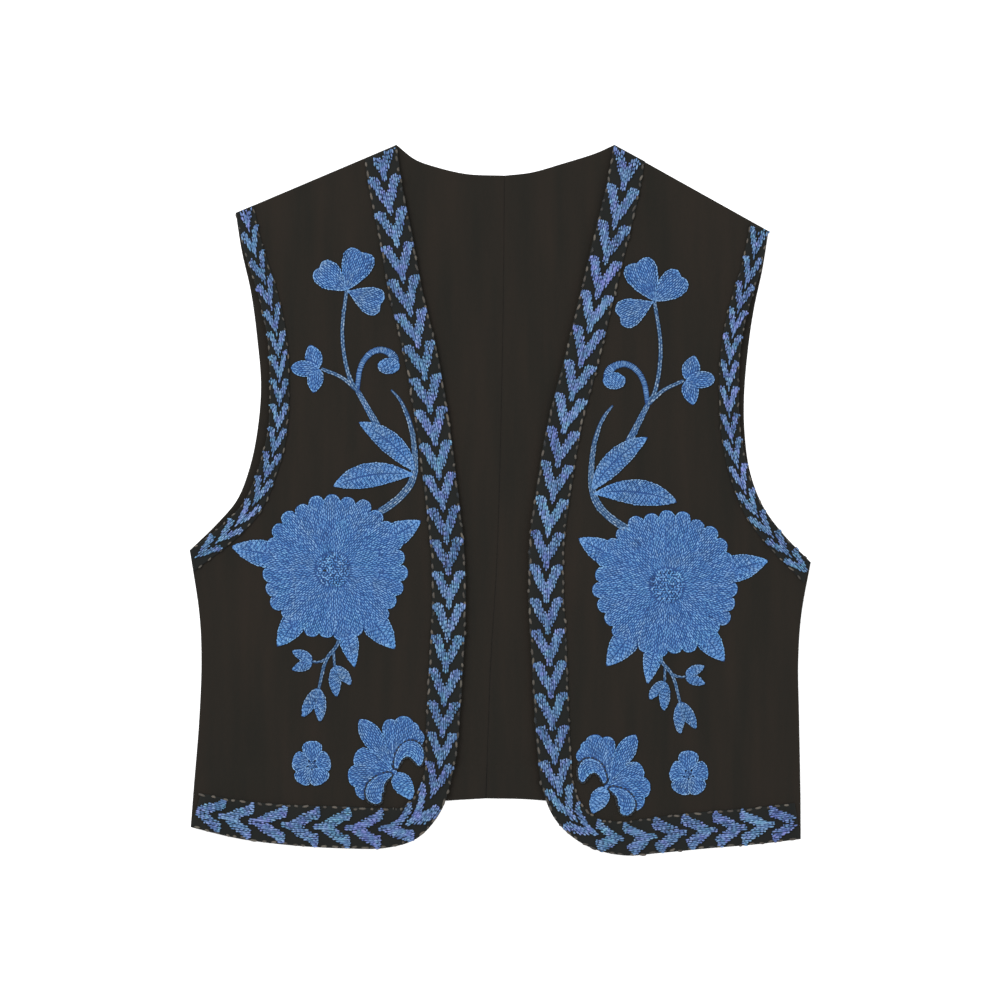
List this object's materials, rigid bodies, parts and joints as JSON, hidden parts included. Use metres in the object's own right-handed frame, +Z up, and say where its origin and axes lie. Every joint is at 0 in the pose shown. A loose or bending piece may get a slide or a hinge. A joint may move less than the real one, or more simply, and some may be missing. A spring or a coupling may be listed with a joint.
{
  "type": "embroidered folk vest, laid flat",
  "caption": "Cropped sleeveless open-front vest laid flat, with chevron braid round its edges and raised floral embroidery on both fronts.",
  "frame": {"origin": "middle of the vest's outline, on the surface that the back rests on", "axes": "+X towards the wearer's left, +Y towards the neck, +Z up out of the cloth"},
  "size_m": [0.4784, 0.5475, 0.0081],
  "materials": {
    "cloth": "matt warm black woven cloth",
    "braid": "black braid with blue chevron stitching",
    "embroidery": "thick blue chain-stitch thread"
  },
  "bodies": {
    "root": {"back_right": "cloth", "front_right": "cloth", "front_braid_right": "braid", "armhole_braid_right": "braid", "spray_right": "embroidery", "flower_right": "embroidery", "bud_sprig_right": "embroidery", "rosette_right": "embroidery", "hem_flower_right": "embroidery", "back_left": "cloth", "front_left": "cloth", "front_braid_left": "braid", "armhole_braid_left": "braid", "spray_left": "embroidery", "flower_left": "embroidery", "bud_sprig_left": "embroidery", "rosette_left": "embroidery", "hem_flower_left": "embroidery"}
  },
  "joints": []
}
